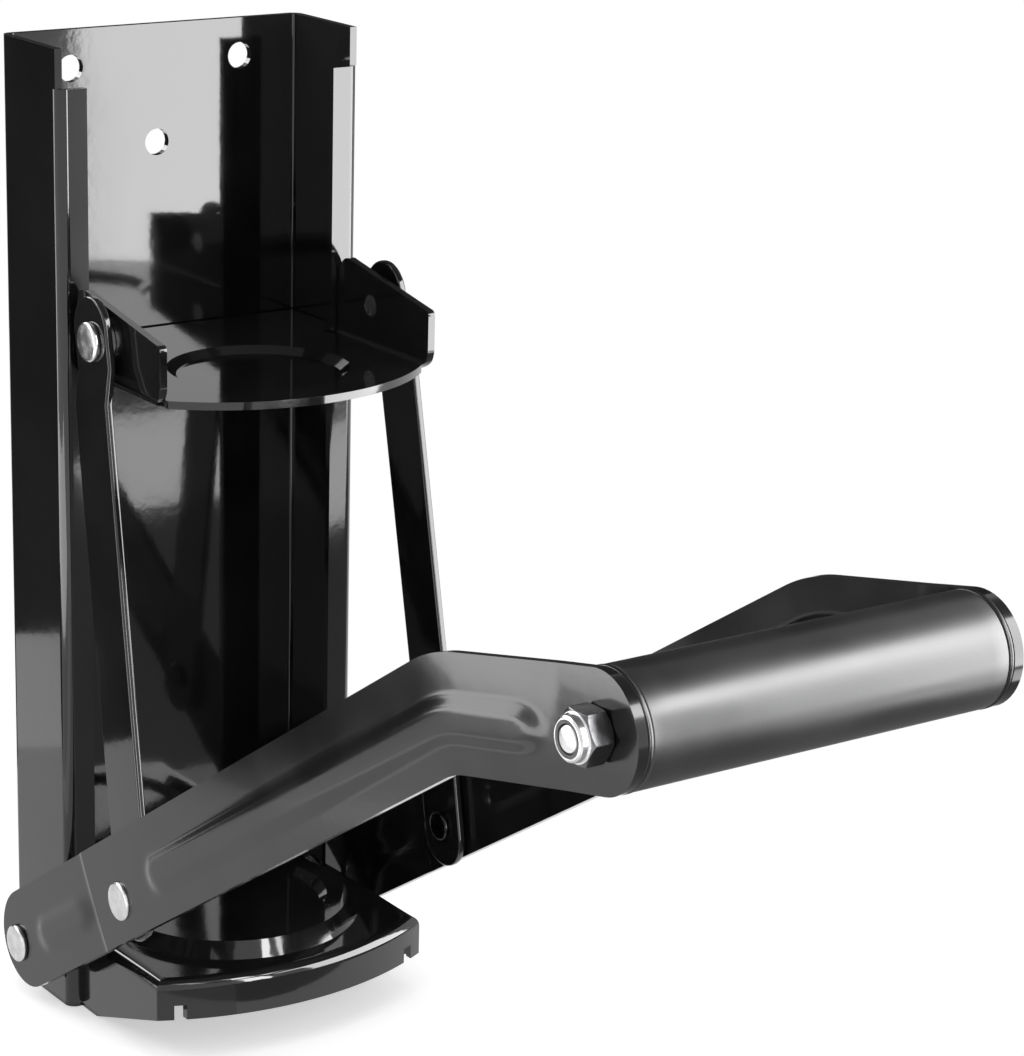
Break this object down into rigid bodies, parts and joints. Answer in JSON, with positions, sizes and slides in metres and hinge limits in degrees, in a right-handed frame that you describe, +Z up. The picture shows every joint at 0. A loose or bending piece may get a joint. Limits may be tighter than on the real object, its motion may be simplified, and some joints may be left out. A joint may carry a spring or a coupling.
{
  "type": "lever can crusher",
  "caption": "Wall-mounted lever can crusher with a folded steel channel, a sliding crush plate, side links and bent lever arms joined by a round grip.",
  "frame": {"origin": "middle of the upper pair of screw holes, on the wall plane at the back of the channel", "axes": "+Z up, front faces -Y, the wall lies behind at +Y, +X to the right seen from the front"},
  "size_m": [0.1143, 0.2811, 0.256],
  "materials": {
    "black_steel": "gloss black coating over folded sheet steel",
    "rivet_steel": "bright zinc plate",
    "tube_steel": "plain drawn tube",
    "grip_black": "satin black",
    "cap_black": "smooth black",
    "nylon": "natural nylon"
  },
  "bodies": {
    "frame": {"back_channel": "black_steel", "base_plate": "black_steel", "pivot_rivets": "rivet_steel", "pivot_spacers": "rivet_steel"},
    "lever": {"left_arm": "black_steel", "right_arm": "black_steel", "arm_rivets": "rivet_steel", "grip_sleeve": "grip_black", "grip_tube": "tube_steel", "left_end_cap": "cap_black", "right_end_cap": "cap_black", "grip_bolt": "rivet_steel", "grip_nut": "rivet_steel", "nut_ring": "nylon"},
    "slider": {"crush_plate": "black_steel", "slider_rivets": "rivet_steel", "link_spacers": "rivet_steel"},
    "links": {"left_link": "black_steel", "right_link": "black_steel", "link_rivet_tails": "rivet_steel"}
  },
  "joints": [
    {"name": "lever_swing", "type": "hinge", "parent": "frame", "child": "lever", "pos_m": [0, -0.0152, -0.2313], "axis": [-1, 0, 0], "range_deg": [-95, 15]},
    {"name": "plate_slide", "type": "slide", "parent": "frame", "child": "slider", "axis": [0, 0, 1], "range_m": [-0.1005, 0.0165]},
    {"name": "link_swing", "type": "hinge", "parent": "slider", "child": "links", "pos_m": [0, -0.0468, -0.06], "axis": [-1, 0, 0], "range_deg": [-7, 1.5]}
  ],
  "couplings": [
    {"joint": "plate_slide", "follows": "lever_swing", "m_per_rad": 0.06},
    {"joint": "link_swing", "follows": "lever_swing", "ratio": 0.07}
  ]
}
